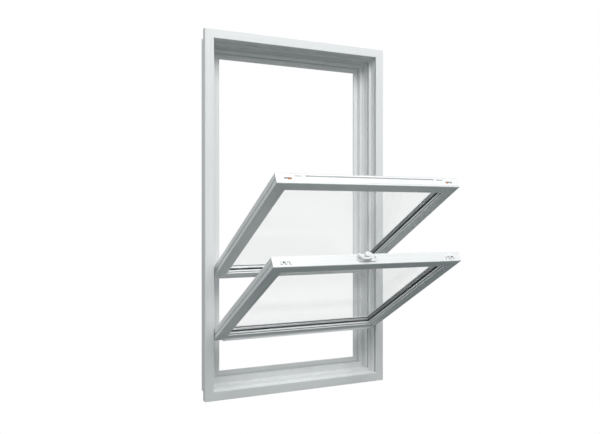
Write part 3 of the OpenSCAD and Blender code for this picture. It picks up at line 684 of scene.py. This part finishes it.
WEDGE = [(0.0, 0.0), (0.90, 0.0), (1.0, 0.22), (0.97, 0.45), (1.0, 0.70), (0.90, 1.0),
         (0.60, 0.94), (0.30, 1.0), (0.0, 1.0)]
TAPE = [(0.0, 0.0), (0.94, 0.0), (1.0, 0.25), (1.0, 0.75), (0.94, 1.0), (0.0, 1.0)]
BEAD = [(0.0, 0.0), (0.84, 0.0), (0.91, 0.02), (0.97, 0.07), (1.0, 0.15), (1.0, 0.40),
        (0.975, 0.45), (0.975, 0.52), (1.0, 0.57), (1.0, 0.85), (0.97, 0.95), (0.91, 1.0),
        (0.0, 1.0)]
SPACER_BAR = [(0.0, 0.14), (0.12, 0.0), (0.80, 0.0), (0.90, 0.10), (1.0, 0.14), (1.0, 0.44),
              (0.96, 0.47), (0.96, 0.53), (1.0, 0.56), (1.0, 0.86), (0.90, 0.90), (0.80, 1.0),
              (0.12, 1.0), (0.0, 0.86)]
PANE_EDGE = 0.4 * MM


def make_glazing():
    for sash in SASHES:
        swept_node(sash + "_gaskets", [WEDGE, TAPE, TAPE], RUBBER)
        swept_node(sash + "_glazing_beads", [BEAD], VINYL)
        swept_node(sash + "_spacer", [SPACER_BAR], SPACER)
        for pane in ("room", "outer"):
            node = f"{sash}_pane_{pane}"
            mesh = rounded_mesh(node, PANE_EDGE, 1)
            add_piece(node + "_body", mesh, BODY_OF[node], GLASS, [node])


# ---------- repeated and path-following pieces ----------

def socket_of(sockets, name, kind):
    """The socket with this name and type, of the several that a node keeps for its types."""
    return next(s for s in sockets if s.name == name and s.type == kind)


def make_copies_tree():
    """Sets a copy on each point, or at even steps along the lines, and turns it outwards."""
    tree = bpy.data.node_groups.new("set_copies", "GeometryNodeTree")
    add_sockets(tree, "INPUT", ("Geometry", "Geometry"), ("Copy", "Object"),
                ("Step", "Float", 0.01), ("Follow Lines", "Bool", False), ("Lean", "Float", 0.0),
                ("Shortest", "Float", 1.0), ("Seed", "Int", 1), ("Material", "Material"))
    add_sockets(tree, "OUTPUT", ("Geometry", "Geometry"))
    new = tree.nodes.new
    link = tree.links.new
    entry = new("NodeGroupInput")
    leave = new("NodeGroupOutput")
    curve = new("GeometryNodeMeshToCurve")
    steps = new("GeometryNodeResampleCurve")
    steps.mode = "LENGTH"
    choice = new("GeometryNodeSwitch")
    choice.input_type = "GEOMETRY"
    out = new("GeometryNodeInputNamedAttribute")
    out.data_type = "FLOAT_VECTOR"
    out.inputs["Name"].default_value = "out"
    along = new("GeometryNodeInputNamedAttribute")
    along.data_type = "FLOAT_VECTOR"
    along.inputs["Name"].default_value = "along"
    upright = new("FunctionNodeAlignRotationToVector")
    upright.axis = "Z"
    turned = new("FunctionNodeAlignRotationToVector")
    turned.axis = "X"
    turned.pivot_axis = "Z"
    minus = new("ShaderNodeMath")
    minus.operation = "MULTIPLY"
    minus.inputs[1].default_value = -1.0
    low = new("ShaderNodeCombineXYZ")
    high = new("ShaderNodeCombineXYZ")
    lean = new("FunctionNodeRandomValue")
    lean.data_type = "FLOAT_VECTOR"
    leant = new("FunctionNodeRotateRotation")
    leant.rotation_space = "LOCAL"
    height = new("FunctionNodeRandomValue")
    height.data_type = "FLOAT"
    size = new("ShaderNodeCombineXYZ")
    size.inputs["X"].default_value = 1.0
    size.inputs["Y"].default_value = 1.0
    copy = new("GeometryNodeObjectInfo")
    place = new("GeometryNodeInstanceOnPoints")
    real = new("GeometryNodeRealizeInstances")
    paint = new("GeometryNodeSetMaterial")
    link(entry.outputs["Geometry"], curve.inputs["Mesh"])
    link(curve.outputs["Curve"], steps.inputs["Curve"])
    link(entry.outputs["Step"], steps.inputs["Length"])
    link(entry.outputs["Follow Lines"], choice.inputs["Switch"])
    link(entry.outputs["Geometry"], choice.inputs["False"])
    link(steps.outputs["Curve"], choice.inputs["True"])
    link(out.outputs["Attribute"], upright.inputs["Vector"])
    link(upright.outputs["Rotation"], turned.inputs["Rotation"])
    link(along.outputs["Attribute"], turned.inputs["Vector"])
    link(entry.outputs["Lean"], minus.inputs[0])
    for axis in ("X", "Y"):
        link(minus.outputs[0], low.inputs[axis])
        link(entry.outputs["Lean"], high.inputs[axis])
    link(low.outputs[0], socket_of(lean.inputs, "Min", "VECTOR"))
    link(high.outputs[0], socket_of(lean.inputs, "Max", "VECTOR"))
    link(entry.outputs["Seed"], lean.inputs["Seed"])
    link(turned.outputs["Rotation"], leant.inputs["Rotation"])
    link(socket_of(lean.outputs, "Value", "VECTOR"), leant.inputs["Rotate By"])
    link(entry.outputs["Shortest"], socket_of(height.inputs, "Min", "VALUE"))
    link(entry.outputs["Seed"], height.inputs["Seed"])
    socket_of(height.inputs, "Max", "VALUE").default_value = 1.0
    link(socket_of(height.outputs, "Value", "VALUE"), size.inputs["Z"])
    link(entry.outputs["Copy"], copy.inputs["Object"])
    link(choice.outputs["Output"], place.inputs["Points"])
    link(copy.outputs["Geometry"], place.inputs["Instance"])
    link(leant.outputs["Rotation"], place.inputs["Rotation"])
    link(size.outputs[0], place.inputs["Scale"])
    link(place.outputs["Instances"], real.inputs["Geometry"])
    link(real.outputs["Geometry"], paint.inputs["Geometry"])
    link(entry.outputs["Material"], paint.inputs["Material"])
    link(paint.outputs["Geometry"], leave.inputs["Geometry"])
    return tree


def make_twist_tree():
    """A flat strip twisted along a straight line."""
    tree = bpy.data.node_groups.new("twisted_strip", "GeometryNodeTree")
    add_sockets(tree, "INPUT", ("Geometry", "Geometry"), ("Width", "Float"),
                ("Thickness", "Float"), ("Step", "Float"), ("Turn Per Step", "Float"),
                ("Material", "Material"))
    add_sockets(tree, "OUTPUT", ("Geometry", "Geometry"))
    new = tree.nodes.new
    link = tree.links.new
    entry = new("NodeGroupInput")
    leave = new("NodeGroupOutput")
    curve = new("GeometryNodeMeshToCurve")
    steps = new("GeometryNodeResampleCurve")
    steps.mode = "LENGTH"
    index = new("GeometryNodeInputIndex")
    turn = new("ShaderNodeMath")
    turn.operation = "MULTIPLY"
    tilt = new("GeometryNodeSetCurveTilt")
    section = new("GeometryNodeCurvePrimitiveQuadrilateral")
    sweep = new("GeometryNodeCurveToMesh")
    sweep.inputs["Fill Caps"].default_value = True
    real = new("GeometryNodeRealizeInstances")
    paint = new("GeometryNodeSetMaterial")
    link(entry.outputs["Geometry"], curve.inputs["Mesh"])
    link(curve.outputs["Curve"], steps.inputs["Curve"])
    link(entry.outputs["Step"], steps.inputs["Length"])
    link(index.outputs[0], turn.inputs[0])
    link(entry.outputs["Turn Per Step"], turn.inputs[1])
    link(steps.outputs["Curve"], tilt.inputs["Curve"])
    link(turn.outputs[0], tilt.inputs["Tilt"])
    link(entry.outputs["Width"], section.inputs["Width"])
    link(entry.outputs["Thickness"], section.inputs["Height"])
    link(tilt.outputs["Curve"], sweep.inputs["Curve"])
    link(section.outputs["Curve"], sweep.inputs["Profile Curve"])
    link(sweep.outputs["Mesh"], real.inputs["Geometry"])
    link(real.outputs["Geometry"], paint.inputs["Geometry"])
    link(entry.outputs["Material"], paint.inputs["Material"])
    link(paint.outputs["Geometry"], leave.inputs["Geometry"])
    return tree


COPIES = make_copies_tree()
TWIST = make_twist_tree()


def grown_mesh(name, verts, edges, tree, values, vectors=()):
    """Runs a geometry tree on a set of points or lines and gives the plain mesh."""
    seed = bpy.data.meshes.new(name + "_seed")
    seed.from_pydata(verts, edges, [])
    for key, rows in vectors:
        data = seed.attributes.new(key, "FLOAT_VECTOR", "POINT").data
        for place, row in zip(data, rows):
            place.vector = row
    holder = bpy.data.objects.new(name + "_holder", seed)
    bpy.context.scene.collection.objects.link(holder)
    grow = holder.modifiers.new("grow", "NODES")
    grow.node_group = tree
    inputs = {item.name: item.identifier for item in tree.interface.items_tree
              if item.item_type == "SOCKET" and item.in_out == "INPUT"}
    for key, value in values.items():
        grow[inputs[key]] = value
    graph = bpy.context.evaluated_depsgraph_get()
    mesh = bpy.data.meshes.new_from_object(holder.evaluated_get(graph))
    mesh.name = name
    bpy.data.objects.remove(holder)
    return mesh


def loose_object(name, mesh):
    """An object that only serves as the shape to copy, and is removed afterwards."""
    thing = bpy.data.objects.new(name, mesh)
    bpy.context.scene.collection.objects.link(thing)
    return thing


def join_meshes(name, meshes):
    shape = bmesh.new()
    for mesh in meshes:
        shape.from_mesh(mesh)
    joined = bpy.data.meshes.new(name)
    shape.to_mesh(joined)
    shape.free()
    return joined


# ---------- pile seals ----------

TUFT_STEP = 1.3 * MM
TUFT_LEAN = math.radians(11)
TUFT_HAIRS = 5
TUFT_SEED = 7
HAIR = 0.42 * MM
HAIR_TIP = 0.4                # thickness left at the tip
ROOT_DEPTH = 0.6              # where bristles start, as a share of the backing's depth
BACKING = [(-1.0, 0.0), (-1.0, 1.0), (-0.86, 1.0), (-0.80, 0.72), (0.80, 0.72), (0.86, 1.0),
           (1.0, 1.0), (1.0, 0.0)]


def tuft_mesh(width, height):
    """A short row of tapered bristles, side by side across the strip."""
    verts = []
    faces = []
    room = width - 2 * HAIR - 2 * height * math.sin(TUFT_LEAN)
    for i in range(TUFT_HAIRS):
        y = -room / 2 + room * i / (TUFT_HAIRS - 1)
        start = len(verts)
        for half, z in ((HAIR / 2, 0.0), (HAIR / 2 * HAIR_TIP, height)):
            verts += [(sx * half, y + sy * half, z) for sx, sy in AROUND]
        foot = list(range(start, start + 4))
        tip = list(range(start + 4, start + 8))
        for (a, b), (c, d) in zip(round_pairs(foot), round_pairs(tip)):
            faces.append((a, b, d, c))
        faces.append(tip)
    mesh = bpy.data.meshes.new("tuft")
    mesh.from_pydata(verts, [], faces)
    return mesh


def strip_axes(low, high, out_axis):
    """The axes along and across a strip that stands out along out_axis."""
    long_axis = long_axis_of(low, high)
    return long_axis, X + Y + Z - out_axis - long_axis


def foot_of(low, high, out_axis, sign):
    """Where along out_axis the strip sits on its bar."""
    return low[out_axis] if sign > 0 else high[out_axis]


def strip_backing(low, high, out_axis, sign, depth):
    """The woven backing of a strip: a low band with a raised selvedge on both sides."""
    long_axis, wide_axis = strip_axes(low, high, out_axis)
    foot = foot_of(low, high, out_axis, sign)
    half = (high[wide_axis] - low[wide_axis]) / 2
    centre = (high[wide_axis] + low[wide_axis]) / 2
    verts = []
    for end in (low[long_axis], high[long_axis]):
        for w, d in BACKING:
            point = [0.0, 0.0, 0.0]
            point[long_axis] = end
            point[wide_axis] = centre + w * half
            point[out_axis] = foot + sign * d * depth
            verts.append(point)
    count = len(BACKING)
    faces = [(i, j, count + j, count + i) for i, j in round_pairs(list(range(count)))]
    faces += [tuple(range(count)), tuple(range(count, 2 * count))]
    return verts, faces


def strip_bristles(low, high, out_axis, sign, depth, shortest):
    """The bristles of a strip, set in its backing at even steps along its middle line."""
    long_axis, wide_axis = strip_axes(low, high, out_axis)
    root = foot_of(low, high, out_axis, sign) + sign * depth * ROOT_DEPTH
    height = high[out_axis] - low[out_axis] - depth * ROOT_DEPTH
    ends = []
    for end in (low[long_axis] + TUFT_STEP, high[long_axis] - TUFT_STEP):
        point = (low + high) / 2
        point[long_axis] = end
        point[out_axis] = root
        ends.append(point)
    out = Vector((0, 0, 0))
    out[out_axis] = sign
    along = Vector((0, 0, 0))
    along[long_axis] = 1
    tuft = loose_object("tuft", tuft_mesh(high[wide_axis] - low[wide_axis], height))
    mesh = grown_mesh("bristles", ends, [(0, 1)], COPIES,
                      {"Copy": tuft, "Step": TUFT_STEP, "Follow Lines": True,
                       "Lean": TUFT_LEAN, "Shortest": shortest, "Seed": TUFT_SEED,
                       "Material": PILE},
                      [("out", [out, out]), ("along", [along, along])])
    bpy.data.objects.remove(tuft)
    return mesh


def make_pile(node, out_rule, seated, shortest):
    """Bristled strips in place of a node's plain bars.

    seated is the backing's share of a strip's depth, shortest that of the lowest bristle.
    """
    back_verts = []
    back_faces = []
    parts = []
    for points in solids_of(node):
        low, high = corners_of(points)
        out_axis, sign = out_rule(low, high)
        depth = seated * (high[out_axis] - low[out_axis])
        add_shape(back_verts, back_faces, *strip_backing(low, high, out_axis, sign, depth))
        parts.append(strip_bristles(low, high, out_axis, sign, depth, shortest))
    parts.append(mesh_of("backing", back_verts, back_faces, Matrix.Identity(4)))
    mesh = join_meshes(node + "_bristles", parts)
    mesh.transform(PLACE[home_of(node)])
    add_piece(node + "_body", mesh, BODY_OF[node], PILE, [node])


def thin_way(low, high):
    """Frame strips stand on the face behind them or above them and point the other way."""
    size = high - low
    return min(range(3), key=lambda i: size[i]), -1


def side_way(low, high):
    """Strips in a sash's sides point outwards."""
    return X, 1 if low.x + high.x > 0 else -1


def make_piles():
    make_pile("frame_pile", thin_way, seated=0.4, shortest=0.8)
    for sash in SASHES:
        make_pile(sash + "_side_piles", side_way, seated=0.5, shortest=0.85)


# ---------- balances ----------

STRIP_W = 4.0 * MM
STRIP_T = 1.3 * MM
STRIP_STEP = 2.5 * MM
STRIP_TURN = math.radians(24)


def make_spiral_rods():
    for sash in SASHES:
        for side in SIDES:
            node = f"rod_{sash}_{side}"
            low, high = corners_of(solids_of(node)[0])
            x, y, _ = (low + high) / 2
            ends = [(x, y, low.z), (x, y, high.z)]
            mesh = grown_mesh(node + "_spiral", ends, [(0, 1)], TWIST,
                              {"Width": STRIP_W, "Thickness": STRIP_T, "Step": STRIP_STEP,
                               "Turn Per Step": STRIP_TURN, "Material": STEEL})
            set_along_bar(mesh, "frame")
            add_piece(node + "_body", mesh, BODY_OF[node], STEEL, [node])


# ---------- screws ----------

SCREW_SIDES = 24
THREAD_PITCH = 1.1 * MM
THREAD_END = 0.3 * MM         # plain shank under the head
POINT = [(0.2, 0.0), (0.75, 2.0)]                     # radius and height in shank radii
THREAD = [(0.78, 0.25), (1.0, 0.6), (0.78, 0.95)]     # radius in shank radii, share of a turn
NECK = 0.85                                           # radius in shank radii
HEAD = [(0.97, 0.0), (1.0, 0.15), (0.97, 0.5), (0.86, 0.82), (0.68, 1.0)]    # shares of a head
RECESS_ARM = 0.46             # reach of the cross, in head radii
RECESS_HALF = 0.12            # half the width of its arms, in head radii
RECESS_TAPER = 0.72           # size of its floor against its mouth
RECESS_FLOOR = 0.35           # height of its floor in the head


def screw_profile(head_r, head_t, shank_r, length):
    """Radius and height from the tip, through the thread's turns, to the top of the head."""
    profile = [(shank_r * r, shank_r * height - length) for r, height in POINT]
    z = profile[-1][1]
    while z + THREAD_PITCH < -THREAD_END:
        profile += [(shank_r * r, z + THREAD_PITCH * turn) for r, turn in THREAD]
        z += THREAD_PITCH
    profile.append((shank_r * NECK, 0.0))
    profile += [(head_r * r, head_t * height) for r, height in HEAD]
    return profile


def cross_outline(head_r):
    arm = RECESS_ARM * head_r
    half = RECESS_HALF * head_r
    return [(arm, -half), (arm, half), (half, half), (half, arm), (-half, arm), (-half, half),
            (-arm, half), (-arm, -half), (-half, -half), (-half, -arm), (half, -arm),
            (half, -half)]


def bridge(shape, one, two):
    """Closes the wall between two rings of as many points."""
    for (a, b), (c, d) in zip(round_pairs(one), round_pairs(two)):
        shape.faces.new((a, b, d, c))


def screw_mesh(head_r, head_t, shank_r, length):
    """A pan-head screw with a cross recess: underside of the head at 0, top at head_t."""
    shape = bmesh.new()
    turns = [2 * math.pi * k / SCREW_SIDES for k in range(SCREW_SIDES)]
    rings = []
    for r, z in screw_profile(head_r, head_t, shank_r, length):
        rings.append([shape.verts.new((r * math.cos(a), r * math.sin(a), z)) for a in turns])
    shape.faces.new(rings[0])
    for one, two in zip(rings, rings[1:]):
        bridge(shape, one, two)
    outline = cross_outline(head_r)
    upper = [shape.verts.new((x, y, head_t)) for x, y in outline]
    lower = [shape.verts.new((x * RECESS_TAPER, y * RECESS_TAPER, head_t * RECESS_FLOOR))
             for x, y in outline]
    rim = [shape.edges.get(pair) for pair in round_pairs(rings[-1])]
    rim += [shape.edges.new(pair) for pair in round_pairs(upper)]
    bmesh.ops.triangle_fill(shape, use_beauty=True, edges=rim)
    bridge(shape, upper, lower)
    shape.faces.new(lower)
    bmesh.ops.recalc_face_normals(shape, faces=shape.faces)
    mesh = bpy.data.meshes.new("screw")
    shape.to_mesh(mesh)
    shape.free()
    return mesh


CROSS_WAY = {X: Vector((0, 0.5, 0.87)), Z: Vector((0.94, 0.34, 0))}   # where one arm points


def make_screws(node, axis, head_r, head_t, shank_r):
    """Screws in place of a node's plain ones; each head is at the outward end of its axis."""
    home = home_of(node)
    places = []
    outs = []
    length = 0.0
    for points in solids_of(node):
        low, high = corners_of(points)
        point = (low + high) / 2
        sign = -1 if axis == X and point.x > 0 else 1
        out = Vector((0, 0, 0))
        out[axis] = sign
        tip = high[axis] if sign > 0 else low[axis]
        point[axis] = tip - sign * head_t
        places.append(point)
        outs.append(out)
        length = high[axis] - low[axis] - head_t
    screw = loose_object("screw", screw_mesh(head_r, head_t, shank_r, length))
    mesh = grown_mesh(node + "_screws", places, [], COPIES,
                      {"Copy": screw, "Follow Lines": False, "Lean": 0.0, "Shortest": 1.0,
                       "Material": STEEL},
                      [("out", outs), ("along", [CROSS_WAY[axis]] * len(outs))])
    bpy.data.objects.remove(screw)
    mesh.transform(PLACE[home])
    set_along_bar(mesh, home)
    add_piece(node + "_body", mesh, BODY_OF[node], STEEL, [node])


def make_all_screws():
    make_screws("lock_screws", Z, head_r=3.75 * MM, head_t=1.6 * MM, shank_r=1.9 * MM)
    make_screws("keeper_screws", Z, head_r=2.95 * MM, head_t=0.9 * MM, shank_r=1.55 * MM)
    make_screws("tube_screws", X, head_r=3.75 * MM, head_t=2.6 * MM, shank_r=1.95 * MM)


STRAIGHT_GRAIN = ("steel", "balance_tube", "spacer", "white_vinyl")


def finish_plain_nodes():
    """CAD nodes whose shape is already right only take a better material."""
    for name, node in frame["nodes"].items():
        if node.hide_render:
            continue
        node.data.materials.clear()
        node.data.materials.append(BY_SLOT[SLOT_OF[name]])
        if SLOT_OF[name] in STRAIGHT_GRAIN:
            set_along_bar(node.data, home_of(name))


make_vinyl_bars()
make_hardware()
make_glazing()
make_piles()
make_spiral_rods()
make_all_screws()
finish_plain_nodes()
